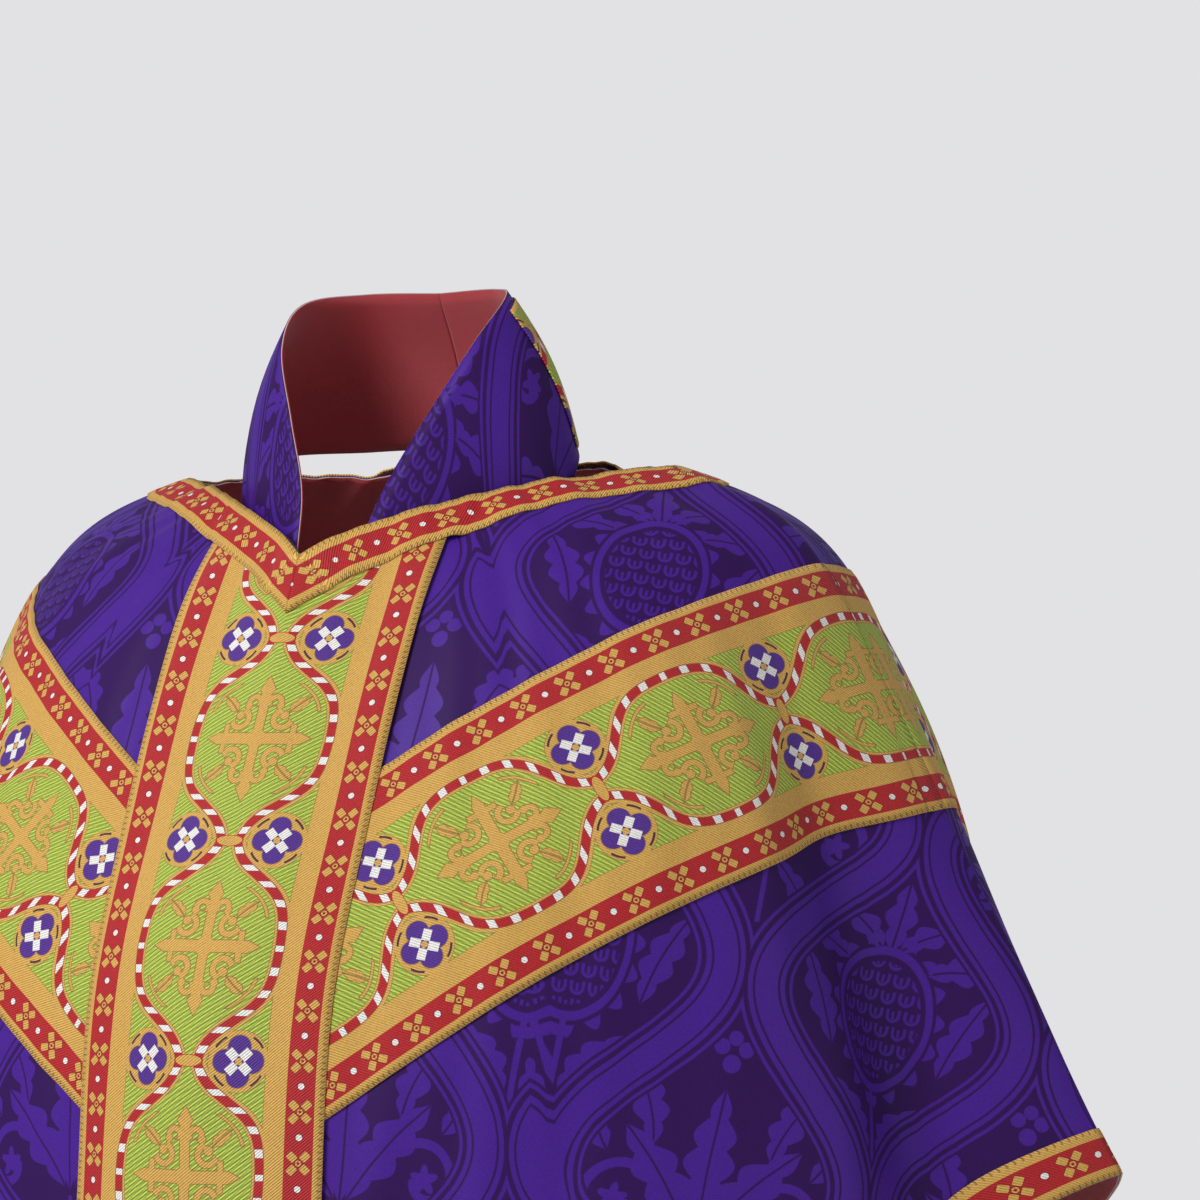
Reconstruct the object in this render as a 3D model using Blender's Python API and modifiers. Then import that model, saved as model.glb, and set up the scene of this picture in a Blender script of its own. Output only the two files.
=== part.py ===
"""Gothic chasuble with a cross of orphreys, and the matching stole worn under it.

The frame: +Z is up, the front faces -Y and the wearer's left is +X. The origin is midway between the
two ends of the neckline on the shoulder line, where the garment rests on the wearer's shoulders.

Every layer follows one draped surface. A place on it is an azimuth and a distance down: the azimuth is
0 on the shoulder line, -90 degrees at the centre front and +90 at the centre back, and the distance is
measured along the cloth from the neckline. The wearer's right is the mirror image of the left.
"""
import math

import bmesh
import bpy
import numpy as np

# Neckline
NECK_HALF_WIDTH = 0.1466
NECK_FRONT = 0.1262
NECK_CORNER = 0.1343
NECK_BACK = 0.095
NECK_TOP = 0.0
V_DROP = 0.0474
BACK_RISE = 0.007
FRONT_SHARPNESS = 1.12
BACK_SHARPNESS = 2.2
CORNER_SOFTNESS = 0.12

# Length of the cloth from the neckline to the hem, and the azimuth where the hem levels out
SIDE_LENGTH = 0.458
FRONT_LENGTH = 1.120
BACK_LENGTH = 1.150
HEM_TURN = 76.0

# Fall of the cloth: a starting slope in degrees, then bends of (degrees, distance down, spread)
SIDE_FALL = (17.2, (45.2, 0.0794, 0.0193), (-2.6, 0.349, 0.030))
FRONT_FALL = (73.0, (-23.0, 0.161, 0.050), (39.0, 0.2407, 0.030))
BACK_FALL = (26.0, (34.0, 0.07, 0.025), (28.0, 0.16, 0.040))
SHOULDER_BLEND = 2.39
HANGING_BLEND = 0.5
RIDGE_WIDTH = 0.08
HANGING_START = 0.08
HANGING_SPREAD = 0.25
V_CURVE = 1.8

# Folds: azimuth at the top and the bottom, half spread (degrees), depth, and where they start and end
FOLDS = (
    (-14.0, -11.0, 4.5, -0.030, 0.10, 0.40),
    (13.0, 12.0, 5.0, -0.030, 0.10, 0.40),
    (-30.0, -32.0, 7.0, 0.012, 0.40, 0.85),
    (-49.0, -50.0, 7.0, -0.016, 0.40, 0.85),
    (-68.0, -67.0, 6.0, 0.010, 0.45, 0.90),
    (33.0, 34.0, 7.0, 0.014, 0.35, 0.80),
    (53.0, 52.0, 7.0, -0.018, 0.35, 0.80),
    (71.0, 70.0, 6.0, 0.012, 0.40, 0.85),
)

# Cloth layers: height of each layer's middle over the damask's, and its thickness
DAMASK = (0.0, 0.0012)
INTERLINING = (-0.0030, 0.0008)
LINING = (-0.0064, 0.0008)
ORPHREY = (0.0064, 0.0012)
GALLOON = (0.0034, 0.0010)

# Woven bands
ORPHREY_WIDTH = 0.144
GALLOON_WIDTH = 0.026
V_HALF_ANGLE = 43.7
ARM_START = 0.178
ARM_REACH = 0.40
FRONT_ARM_HEADING = 89.4
BACK_ARM_HEADING = 88.0
BAND_GAP = 0.005
SEAM_GAP = 0.0006
SEAM_CLEARANCE = 0.25    # degrees between the shoulder line and the end of a slanting band
PILLAR_RUN_UP = 0.12
PILLAR_REACH = 1.30
ARM_RUN_UP = 0.12

# Stole: the edge beside the neck and the outer edge, from the back of the neck to the end
STOLE_INNER = (
    (0.000, 0.019, 0.100), (0.040, 0.008, 0.100), (0.0625, -0.022, 0.093), (0.0592, -0.050, 0.068),
    (0.042, -0.070, 0.029), (0.026, -0.086, -0.008), (0.020, -0.099, -0.036), (0.019, -0.110, -0.070),
    (0.022, -0.142, -0.150), (0.030, -0.185, -0.320), (0.036, -0.200, -0.650), (0.040, -0.205, -1.000),
)
STOLE_OUTER = (
    (0.000, 0.055, 0.018), (0.055, 0.042, 0.016), (0.0953, -0.0014, 0.010), (0.099, -0.024, -0.016),
    (0.088, -0.040, -0.055), (0.084, -0.056, -0.088), (0.084, -0.072, -0.115), (0.088, -0.088, -0.140),
    (0.100, -0.112, -0.205), (0.122, -0.138, -0.360), (0.132, -0.145, -0.680), (0.138, -0.150, -1.000),
)
STOLE_BOW = 0.006
STOLE_LAYER = 0.0008
STOLE_ORPHREY_END = 0.20
STOLE_ORPHREY_MARGIN = 0.06
STOLE_ORPHREY_HEIGHT = 0.0024

# Mesh density
PANEL_COLUMNS = 12
PANEL_ROWS = 12
SIDE_CROWDING = 1.4
NECK_CROWDING = 1.25
ORPHREY_ROWS = 4
PILLAR_COLUMNS = 22
ARM_COLUMNS = 12
ARM_ROWS = 5
STOLE_COLUMNS = 18
STOLE_ROWS = 2
NECK_BAND_COLUMNS = 14
PATH_POINTS = 80
MARCH_STEPS = 4
CUT_ROUNDS = 14
QUADRATURE = np.polynomial.legendre.leggauss(14)

PURPLE = (0.055, 0.017, 0.215)
RED = (0.42, 0.02, 0.025)
GREEN = (0.19, 0.42, 0.04)
GOLD = (0.66, 0.39, 0.09)
CREAM = (0.74, 0.70, 0.60)


def rise(value):
    """Smooth step from 0 to 1."""
    value = np.clip(value, 0.0, 1.0)
    return value * value * (3.0 - 2.0 * value)


def fall(bends, down):
    """Slope of a profile in degrees."""
    slope = bends[0]
    for turn, place, spread in bends[1:]:
        slope = slope + turn / (1.0 + np.exp((place - down) / spread))
    return slope


def superellipse(angle, across, along, fullness, softness):
    """Distance from the centre to a rounded outline, in the direction of an angle in radians."""
    wide = np.sqrt(np.cos(angle) ** 2 + (softness * np.sin(angle)) ** 2)
    deep = np.abs(np.sin(angle))
    return ((wide / across) ** fullness + (deep / along) ** fullness) ** (-1.0 / fullness)


def neckline(angle):
    """Radius and height of the neckline."""
    front = superellipse(angle, NECK_HALF_WIDTH, NECK_CORNER, FRONT_SHARPNESS, CORNER_SOFTNESS)
    back = superellipse(angle, NECK_HALF_WIDTH, NECK_BACK, BACK_SHARPNESS, 0.0)
    radius = np.where(angle < 0.0, front, back)
    depth = radius * np.abs(np.sin(angle))
    low = NECK_TOP - V_DROP * (depth / NECK_FRONT) ** V_CURVE
    high = NECK_TOP + BACK_RISE * (depth / NECK_BACK) ** 2
    return radius, np.where(angle < 0.0, low, high)


def hem(azimuth):
    """Length of the cloth from the neckline to the hem."""
    middle = np.where(azimuth < 0.0, FRONT_LENGTH, BACK_LENGTH)
    return SIDE_LENGTH + (middle - SIDE_LENGTH) * rise(np.abs(azimuth) / HEM_TURN)


def slope(angle, down):
    """Slope of the cloth below the horizontal, in radians."""
    facing = np.sqrt(np.sin(angle) ** 2 + RIDGE_WIDTH ** 2) - RIDGE_WIDTH
    power = SHOULDER_BLEND + (HANGING_BLEND - SHOULDER_BLEND) * rise((down - HANGING_START) / HANGING_SPREAD)
    share = facing ** power
    side = fall(SIDE_FALL, down)
    level = np.where(angle < 0.0, fall(FRONT_FALL, down), fall(BACK_FALL, down))
    return np.radians(side + (level - side) * share)


def folds(azimuth, down):
    """Outward distance of the folds."""
    total = 0.0
    for top, bottom, spread, depth, start, end in FOLDS:
        growth = rise((down - start) / (end - start))
        offset = (azimuth - top - (bottom - top) * growth) / spread
        total = total + depth * growth * np.exp(-0.5 * offset ** 2)
    return total


def drape(azimuth, down, folded=True):
    """Points of the damask's middle surface on the wearer's left."""
    angle = np.radians(azimuth)
    radius, height = neckline(angle)
    for node, weight in zip(*QUADRATURE):
        tilt = slope(angle, 0.5 * down * (node + 1.0))
        radius = radius + 0.5 * down * weight * np.cos(tilt)
        height = height - 0.5 * down * weight * np.sin(tilt)
    if folded:
        radius = radius + folds(azimuth, down)
    return np.stack((radius * np.cos(angle), radius * np.sin(angle), height), axis=-1)


def tangents(azimuth, down, folded):
    """Derivatives of the surface by azimuth and by distance down."""
    turn, reach = 0.05, 0.0005
    around = drape(azimuth + turn, down, folded) - drape(azimuth - turn, down, folded)
    along = drape(azimuth, down + reach, folded) - drape(azimuth, down - reach, folded)
    return around / (2.0 * turn), along / (2.0 * reach)


def dot(first, second):
    return np.sum(first * second, axis=-1)


def unit(vector):
    return vector / np.linalg.norm(vector, axis=-1, keepdims=True)


def layer(azimuth, down, height):
    """Points at a height over the damask."""
    around, along = tangents(azimuth, down, True)
    return drape(azimuth, down) + height * unit(np.cross(along, around))


def advance(azimuth, down, heading, distance):
    """Move a short way along a heading, and turn the heading with the surface."""
    around, along = tangents(azimuth, down, False)
    aa, ab, bb = dot(around, around), dot(around, along), dot(along, along)
    ha, hb = dot(heading, around), dot(heading, along)
    scale = distance / (aa * bb - ab * ab)
    azimuth = azimuth + (ha * bb - hb * ab) * scale
    down = down + (hb * aa - ha * ab) * scale
    around, along = tangents(azimuth, down, False)
    normal = unit(np.cross(along, around))
    heading = unit(heading - normal * dot(heading, normal)[..., None])
    return azimuth, down, heading


def straight_path(azimuth, down, angle, length, steps=48):
    """Azimuths and distances down of a straight line on the cloth, which starts at an angle to the
    line straight down and bends towards the front when the angle is negative."""
    azimuth, down = np.array([azimuth]), np.array([down])
    around, along = tangents(azimuth, down, False)
    sideways = unit(around - along * (dot(around, along) / dot(along, along))[..., None])
    turn = math.radians(angle)
    heading = math.cos(turn) * unit(along) + math.sin(turn) * sideways
    places = [(0.0, azimuth[0], down[0])]
    for step in range(steps):
        azimuth, down, heading = advance(azimuth, down, heading, length / steps)
        places.append((length * (step + 1) / steps, azimuth[0], down[0]))
    return np.array(places)


def beside(path, along, across):
    """Azimuths and distances down of places beside a path, at a distance across it."""
    azimuth = np.interp(along, path[:, 0], path[:, 1])
    down = np.interp(along, path[:, 0], path[:, 2])
    ahead = np.interp(along + 0.002, path[:, 0], path[:, 1])
    ahead_down = np.interp(along + 0.002, path[:, 0], path[:, 2])
    behind = np.interp(along - 0.002, path[:, 0], path[:, 1])
    behind_down = np.interp(along - 0.002, path[:, 0], path[:, 2])
    forward = unit(drape(ahead, ahead_down, False) - drape(behind, behind_down, False))
    around, below = tangents(azimuth, down, False)
    heading = np.cross(unit(np.cross(below, around)), forward)
    for _ in range(MARCH_STEPS):
        azimuth, down, heading = advance(azimuth, down, heading, across / MARCH_STEPS)
    return azimuth, down


def grid_object(name, columns, rows, place, thickness, colour, collection):
    """A sheet: a grid whose vertices are placed by a function, with the cloth's thickness."""
    form = bmesh.new()
    bmesh.ops.create_grid(form, x_segments=columns, y_segments=rows, size=0.5)
    first = np.array([vert.co.x + 0.5 for vert in form.verts])
    second = np.array([vert.co.y + 0.5 for vert in form.verts])
    for vert, point in zip(form.verts, place(first, second)):
        vert.co = point
    mesh = bpy.data.meshes.new(name)
    form.to_mesh(mesh)
    form.free()
    mesh.shade_smooth()
    mesh.materials.append(cloth_material(name, colour))
    sheet = bpy.data.objects.new(name, mesh)
    collection.objects.link(sheet)
    solid = sheet.modifiers.new("thickness", "SOLIDIFY")
    solid.thickness = thickness
    solid.offset = 0.0
    return sheet


def cloth_material(name, colour):
    material = bpy.data.materials.new(name)
    material.use_nodes = True
    shader = material.node_tree.nodes["Principled BSDF"]
    shader.inputs["Base Color"].default_value = (*colour, 1.0)
    shader.inputs["Roughness"].default_value = 0.7
    shader.inputs["Metallic"].default_value = 0.0
    return material


def mirrored(points, side):
    return points * np.array((side, 1.0, 1.0))


def panel_points(half, first, second, height):
    """Points of one quarter: the first share runs from the middle to the shoulder line, the second
    from the neckline to the hem. The gap at a seam is half on each side of it."""
    azimuth = half * 90.0 * (1.0 - first) ** SIDE_CROWDING
    down = hem(azimuth) * second ** NECK_CROWDING
    points = layer(azimuth, down, height)
    middle = SEAM_GAP * (1.0 - first)[..., None] * np.array((1.0, 0.0, 0.0))
    shoulder = SEAM_GAP * first[..., None] * np.array((0.0, half, 0.0))
    return points + middle + shoulder


def on_panel(half, azimuth, down, height):
    """Points over the panel's facets, for the bands that are sewn to it."""
    shares = np.meshgrid(np.linspace(0.0, 1.0, PANEL_COLUMNS + 1),
                         np.linspace(0.0, 1.0, PANEL_ROWS + 1), indexing="ij")
    corners = panel_points(half, *shares, height)
    first = 1.0 - np.clip(np.abs(azimuth) / 90.0, 0.0, 1.0) ** (1.0 / SIDE_CROWDING)
    second = np.clip(down / hem(azimuth), 0.0, 1.0) ** (1.0 / NECK_CROWDING)
    column = np.clip((first * PANEL_COLUMNS).astype(int), 0, PANEL_COLUMNS - 1)
    row = np.clip((second * PANEL_ROWS).astype(int), 0, PANEL_ROWS - 1)
    right = (first * PANEL_COLUMNS - column)[..., None]
    below = (second * PANEL_ROWS - row)[..., None]
    upper = corners[column, row] * (1.0 - right) + corners[column + 1, row] * right
    lower = corners[column, row + 1] * (1.0 - right) + corners[column + 1, row + 1] * right
    return upper * (1.0 - below) + lower * below


def panel_place(half, side, height):
    def place(first, second):
        return mirrored(panel_points(half, first, second, height), side)
    return place


def galloon_depth(azimuth):
    """Distance down that the neckline's braid covers: it grows to the mitre at the point of the V."""
    mitre = 1.0 / math.sin(math.radians(V_HALF_ANGLE)) - 1.0
    front = np.where(azimuth < 0.0, np.abs(np.sin(np.radians(azimuth))), 0.0)
    return GALLOON_WIDTH * (1.0 + mitre * front ** 1.5)


def orphrey_place(path, half, cut_start, cut_end, side):
    """Places an orphrey along a path: its ends are cut along functions of the distance across."""
    def place(first, second):
        across = ORPHREY_WIDTH * (second - 0.5)
        start, end = cut_start(across), cut_end(across)
        azimuth, down = beside(path, start + (end - start) * first, across)
        opposite = half * azimuth > 90.0
        azimuth = np.where(opposite, half * 180.0 - azimuth, azimuth)
        points = on_panel(half, azimuth, down, ORPHREY[0])
        points[..., 0] = np.where(opposite, -points[..., 0], points[..., 0])
        return mirrored(points, side)
    return place


def galloon_place(half, side, start, end):
    """Places a braid between two distances down, each a function of the azimuth."""
    def place(first, second):
        azimuth = half * 90.0 * (1.0 - first) ** SIDE_CROWDING
        down = start(azimuth) + (end(azimuth) - start(azimuth)) * second
        return mirrored(on_panel(half, azimuth, down, GALLOON[0]), side)
    return place


def cut_where(path, test, low, high):
    """A cut where a test of the azimuth and the distance down turns positive along the band."""
    def cut(across):
        before, after = np.full_like(across, low), np.full_like(across, high)
        for _ in range(CUT_ROUNDS):
            middle = 0.5 * (before + after)
            beyond = test(*beside(path, middle, across)) > 0.0
            after = np.where(beyond, middle, after)
            before = np.where(beyond, before, middle)
        return 0.5 * (before + after)
    return cut


def off_middle(azimuth, down):
    """Distance of a place from the plane of symmetry."""
    return drape(azimuth, down, False)[..., 0]


def make_panels(collection):
    layers = (("panel", DAMASK, PURPLE), ("interlining", INTERLINING, CREAM), ("lining", LINING, RED))
    for half_name, half in (("front", -1.0), ("back", 1.0)):
        for side_name, side in (("left", 1.0), ("right", -1.0)):
            for layer_name, (height, thickness), colour in layers:
                name = f"{half_name}_{side_name}_{layer_name}"
                place = panel_place(half, side, height)
                grid_object(name, PANEL_COLUMNS, PANEL_ROWS, place, thickness, colour, collection)


def make_pillars(collection):
    """The upright orphreys down the centre of the front and the back."""
    for name, half in (("front_pillar_orphrey", -1.0), ("back_pillar_orphrey", 1.0)):
        down = np.linspace(-PILLAR_RUN_UP, PILLAR_REACH, PATH_POINTS)
        path = np.stack((down, np.full_like(down, half * 90.0), down), axis=1)
        top = cut_where(
            path, lambda azimuth, down: down - galloon_depth(azimuth) - BAND_GAP, -PILLAR_RUN_UP, 0.10)
        bottom = cut_where(
            path, lambda azimuth, down: down - hem(azimuth) + GALLOON_WIDTH + BAND_GAP, 0.8, PILLAR_REACH)
        place = orphrey_place(path, half, top, bottom, 1.0)
        grid_object(name, PILLAR_COLUMNS, ORPHREY_ROWS, place, ORPHREY[1], GREEN, collection)


def make_arms(collection):
    """The slanting orphreys from the shoulder seams to the pillars."""
    clear = ORPHREY_WIDTH / 2.0 + BAND_GAP
    length = ARM_RUN_UP + ARM_REACH
    for half_name, half, heading in (("front", -1.0, FRONT_ARM_HEADING), ("back", 1.0, BACK_ARM_HEADING)):
        path = straight_path(0.0, ARM_START, half * heading, length)
        at_seam = cut_where(path, lambda azimuth, down: half * azimuth - SEAM_CLEARANCE, 0.0, 0.30)
        at_pillar = cut_where(
            path, lambda azimuth, down: clear - off_middle(azimuth, down), 0.05, length)
        for side_name, side in (("left", 1.0), ("right", -1.0)):
            place = orphrey_place(path, half, at_seam, at_pillar, side)
            name = f"{half_name}_{side_name}_arm_orphrey"
            grid_object(name, ARM_COLUMNS, ARM_ROWS, place, ORPHREY[1], GREEN, collection)


def make_galloons(collection):
    """The narrow braids along the neckline and the hem."""
    for half_name, half in (("front", -1.0), ("back", 1.0)):
        for side_name, side in (("left", 1.0), ("right", -1.0)):
            neck = galloon_place(half, side, np.zeros_like, galloon_depth)
            name = f"neck_galloon_{half_name}_{side_name}"
            grid_object(name, PANEL_COLUMNS, 2, neck, GALLOON[1], RED, collection)
            edge = galloon_place(half, side, lambda azimuth: hem(azimuth) - GALLOON_WIDTH, hem)
            name = f"hem_galloon_{half_name}_{side_name}"
            grid_object(name, PANEL_COLUMNS, 1, edge, GALLOON[1], RED, collection)


def smooth_curve(points, share):
    """Points on a smooth curve through control points."""
    points = np.array(points)
    reach = share * (len(points) - 1)
    index = np.clip(reach.astype(int), 0, len(points) - 2)
    step = (reach - index)[:, None]
    before = points[np.maximum(index - 1, 0)]
    start, end = points[index], points[index + 1]
    after = points[np.minimum(index + 2, len(points) - 1)]
    pull_start, pull_end = 0.5 * (end - before), 0.5 * (after - start)
    square, cube = step ** 2, step ** 3
    return ((2 * cube - 3 * square + 1) * start + (cube - 2 * square + step) * pull_start
            + (3 * square - 2 * cube) * end + (cube - square) * pull_end)


def stole_point(share, across, height):
    """Points of the stole: the share runs from the back of the neck to the end of one side."""
    def surface(share, across):
        inner, outer = smooth_curve(STOLE_INNER, share), smooth_curve(STOLE_OUTER, share)
        return inner + (outer - inner) * across[:, None]
    turn = 0.002
    ahead, behind = np.minimum(share + turn, 1.0), np.maximum(share - turn, 0.0)
    along = surface(ahead, across) - surface(behind, across)
    along = np.where((share < turn)[:, None], np.array((1.0, 0.0, 0.0)), along)
    sideways = surface(share, np.ones_like(across)) - surface(share, np.zeros_like(across))
    normal = unit(np.cross(along, sideways))
    bow = STOLE_BOW * np.sin(math.pi * across)
    return surface(share, across) + normal * (height + bow)[:, None]


def make_stole(collection):
    layers = (("", 0.0, PURPLE), ("_interlining", -0.0016, CREAM), ("_lining", -0.0032, RED))
    for side_name, side in (("left", 1.0), ("right", -1.0)):
        for layer_name, height, colour in layers:
            def place(first, second, side=side, height=height):
                points = stole_point(first, second, height)
                points[:, 0] = np.maximum(points[:, 0], SEAM_GAP)
                return mirrored(points, side)
            name = f"stole_{side_name}{layer_name}"
            grid_object(name, STOLE_COLUMNS, STOLE_ROWS, place, STOLE_LAYER, colour, collection)

    def neck_band(first, second):
        signed = (2.0 * first - 1.0) * STOLE_ORPHREY_END
        across = STOLE_ORPHREY_MARGIN + (1.0 - 2.0 * STOLE_ORPHREY_MARGIN) * second
        points = stole_point(np.abs(signed), across, STOLE_ORPHREY_HEIGHT)
        points[:, 0] = np.where(signed < 0.0, -points[:, 0], points[:, 0])
        return points
    grid_object(
        "stole_neck_orphrey", NECK_BAND_COLUMNS, STOLE_ROWS, neck_band, STOLE_LAYER, GREEN, collection)


def main():
    for item in list(bpy.data.objects):
        bpy.data.objects.remove(item, do_unlink=True)
    collection = bpy.data.collections.new("chasuble")
    bpy.context.scene.collection.children.link(collection)
    make_panels(collection)
    make_pillars(collection)
    make_arms(collection)
    make_galloons(collection)
    make_stole(collection)


main()
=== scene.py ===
import math

import bmesh
import bpy
import numpy as np
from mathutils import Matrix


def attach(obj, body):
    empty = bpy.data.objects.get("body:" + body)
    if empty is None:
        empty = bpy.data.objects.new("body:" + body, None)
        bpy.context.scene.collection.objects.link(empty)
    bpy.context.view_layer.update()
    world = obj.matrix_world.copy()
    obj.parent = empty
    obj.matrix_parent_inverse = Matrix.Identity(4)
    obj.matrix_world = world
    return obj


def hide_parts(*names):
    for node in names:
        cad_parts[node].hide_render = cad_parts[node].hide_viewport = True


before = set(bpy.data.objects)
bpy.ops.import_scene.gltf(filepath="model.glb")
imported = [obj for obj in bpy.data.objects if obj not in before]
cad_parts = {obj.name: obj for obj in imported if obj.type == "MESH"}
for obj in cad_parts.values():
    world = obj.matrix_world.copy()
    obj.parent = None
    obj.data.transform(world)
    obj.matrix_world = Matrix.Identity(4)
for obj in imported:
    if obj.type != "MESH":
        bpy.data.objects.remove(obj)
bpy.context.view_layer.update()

# ---------------------------------------------------------------------------------------------------
# The draped surface. A place on it is an azimuth (0 on the shoulder line, -90 at the centre front,
# +90 at the centre back) and a distance down along the cloth from the neckline. It is the surface
# that the CAD solids follow; ripple() adds the slight unevenness of hanging cloth to it.
# ---------------------------------------------------------------------------------------------------

# Neckline
NECK_HALF_WIDTH = 0.1466
NECK_FRONT = 0.1262
NECK_CORNER = 0.1343
NECK_BACK = 0.095
NECK_TOP = 0.0
V_DROP = 0.0474
V_CURVE = 1.8
BACK_RISE = 0.007
FRONT_SHARPNESS = 1.12
BACK_SHARPNESS = 2.2
CORNER_SOFTNESS = 0.12

# Length of the cloth from the neckline to the hem, and the azimuth where the hem levels out
SIDE_LENGTH = 0.458
FRONT_LENGTH = 1.120
BACK_LENGTH = 1.150
HEM_TURN = 76.0

# Fall of the cloth: a starting slope in degrees, then bends of (degrees, distance down, spread)
SIDE_FALL = (17.2, (45.2, 0.0794, 0.0193), (-2.6, 0.349, 0.030))
FRONT_FALL = (73.0, (-23.0, 0.161, 0.050), (39.0, 0.2407, 0.030))
BACK_FALL = (26.0, (34.0, 0.07, 0.025), (28.0, 0.16, 0.040))
SHOULDER_BLEND = 2.39
HANGING_BLEND = 0.5
HANGING_START = 0.08
HANGING_SPREAD = 0.25
RIDGE_WIDTH = 0.08

# Folds: azimuth at the top and the bottom, half spread (degrees), depth, and where they start and end
FOLDS = (
    (-14.0, -11.0, 4.5, -0.030, 0.10, 0.40),
    (13.0, 12.0, 5.0, -0.030, 0.10, 0.40),
    (-30.0, -32.0, 7.0, 0.012, 0.40, 0.85),
    (-49.0, -50.0, 7.0, -0.016, 0.40, 0.85),
    (-68.0, -67.0, 6.0, 0.010, 0.45, 0.90),
    (33.0, 34.0, 7.0, 0.014, 0.35, 0.80),
    (53.0, 52.0, 7.0, -0.018, 0.35, 0.80),
    (71.0, 70.0, 6.0, 0.012, 0.40, 0.85),
)

# Woven bands
ORPHREY_WIDTH = 0.144
GALLOON_WIDTH = 0.026
ARM_START = 0.178
ARM_LENGTH = 0.52
FRONT_ARM_HEADING = 89.4
BACK_ARM_HEADING = 88.0
TUCK = 0.012

SIDES = (("left", 1.0), ("right", -1.0))
HALVES = (("front", -1.0), ("back", 1.0))

# Steps of the walks over the surface, and half the spans over which directions are measured
MARCH_STEPS = 5
PATH_STEPS = 60
CUT_ROUNDS = 16
AZIMUTH_SPAN = 0.05
DOWN_SPAN = 0.0005
PATH_SPAN = 0.004
CARRY = 0.045
CARRY_STEPS = 8
QUADRATURE = np.polynomial.legendre.leggauss(20)


def rise(value):
    """Smooth step from 0 to 1."""
    value = np.clip(value, 0.0, 1.0)
    return value * value * (3.0 - 2.0 * value)


def fall(bends, down):
    """Slope of a profile in degrees."""
    slope_now = bends[0]
    for turn, place, spread in bends[1:]:
        slope_now = slope_now + turn / (1.0 + np.exp((place - down) / spread))
    return slope_now


def superellipse(angle, across, along, fullness, softness):
    """Distance from the centre to a rounded outline, in the direction of an angle in radians."""
    wide = np.sqrt(np.cos(angle) ** 2 + (softness * np.sin(angle)) ** 2)
    deep = np.abs(np.sin(angle))
    return ((wide / across) ** fullness + (deep / along) ** fullness) ** (-1.0 / fullness)


def neckline(angle):
    """Radius and height of the neckline."""
    front = superellipse(angle, NECK_HALF_WIDTH, NECK_CORNER, FRONT_SHARPNESS, CORNER_SOFTNESS)
    back = superellipse(angle, NECK_HALF_WIDTH, NECK_BACK, BACK_SHARPNESS, 0.0)
    radius = np.where(angle < 0.0, front, back)
    depth = radius * np.abs(np.sin(angle))
    low = NECK_TOP - V_DROP * (depth / NECK_FRONT) ** V_CURVE
    high = NECK_TOP + BACK_RISE * (depth / NECK_BACK) ** 2
    return radius, np.where(angle < 0.0, low, high)


def hem(azimuth):
    """Length of the cloth from the neckline to the hem."""
    middle = np.where(azimuth < 0.0, FRONT_LENGTH, BACK_LENGTH)
    return SIDE_LENGTH + (middle - SIDE_LENGTH) * rise(np.abs(azimuth) / HEM_TURN)


def slope(angle, down):
    """Slope of the cloth below the horizontal, in radians."""
    facing = np.sqrt(np.sin(angle) ** 2 + RIDGE_WIDTH ** 2) - RIDGE_WIDTH
    hanging = rise((down - HANGING_START) / HANGING_SPREAD)
    power = SHOULDER_BLEND + (HANGING_BLEND - SHOULDER_BLEND) * hanging
    share = facing ** power
    side = fall(SIDE_FALL, down)
    level = np.where(angle < 0.0, fall(FRONT_FALL, down), fall(BACK_FALL, down))
    return np.radians(side + (level - side) * share)


def folds(azimuth, down):
    """Outward distance of the folds."""
    total = 0.0
    for top, bottom, spread, depth, start, end in FOLDS:
        growth = rise((down - start) / (end - start))
        offset = (azimuth - top - (bottom - top) * growth) / spread
        total = total + depth * growth * np.exp(-0.5 * offset ** 2)
    return total


def drape(azimuth, down, folded=True):
    """Points of the damask's middle surface on the wearer's left."""
    angle = np.radians(azimuth)
    radius, height = neckline(angle)
    for node, weight in zip(*QUADRATURE):
        tilt = slope(angle, 0.5 * down * (node + 1.0))
        radius = radius + 0.5 * down * weight * np.cos(tilt)
        height = height - 0.5 * down * weight * np.sin(tilt)
    if folded:
        radius = radius + folds(azimuth, down)
    return np.stack((radius * np.cos(angle), radius * np.sin(angle), height), axis=-1)


def tangents(azimuth, down, folded):
    """Derivatives of the surface by azimuth and by distance down."""
    around = drape(azimuth + AZIMUTH_SPAN, down, folded) - drape(azimuth - AZIMUTH_SPAN, down, folded)
    along = drape(azimuth, down + DOWN_SPAN, folded) - drape(azimuth, down - DOWN_SPAN, folded)
    return around / (2.0 * AZIMUTH_SPAN), along / (2.0 * DOWN_SPAN)


def dot(first, second):
    return np.sum(first * second, axis=-1)


def unit(vector):
    return vector / np.linalg.norm(vector, axis=-1, keepdims=True)


def square_to(around, along):
    """The direction on the surface that is square to the line straight down."""
    return unit(around - along * (dot(around, along) / dot(along, along))[..., None])


def layer(azimuth, down, height):
    """Points at a height over the damask."""
    around, along = tangents(azimuth, down, True)
    lift = np.broadcast_to(height, azimuth.shape)[..., None]
    return drape(azimuth, down) + lift * unit(np.cross(along, around))


def advance(azimuth, down, heading, distance):
    """Move a short way along a heading, and turn the heading with the surface."""
    around, along = tangents(azimuth, down, False)
    aa, ab, bb = dot(around, around), dot(around, along), dot(along, along)
    ha, hb = dot(heading, around), dot(heading, along)
    scale = distance / (aa * bb - ab * ab)
    azimuth = azimuth + (ha * bb - hb * ab) * scale
    down = down + (hb * aa - ha * ab) * scale
    around, along = tangents(azimuth, down, False)
    normal = unit(np.cross(along, around))
    heading = unit(heading - normal * dot(heading, normal)[..., None])
    return azimuth, down, heading


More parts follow.
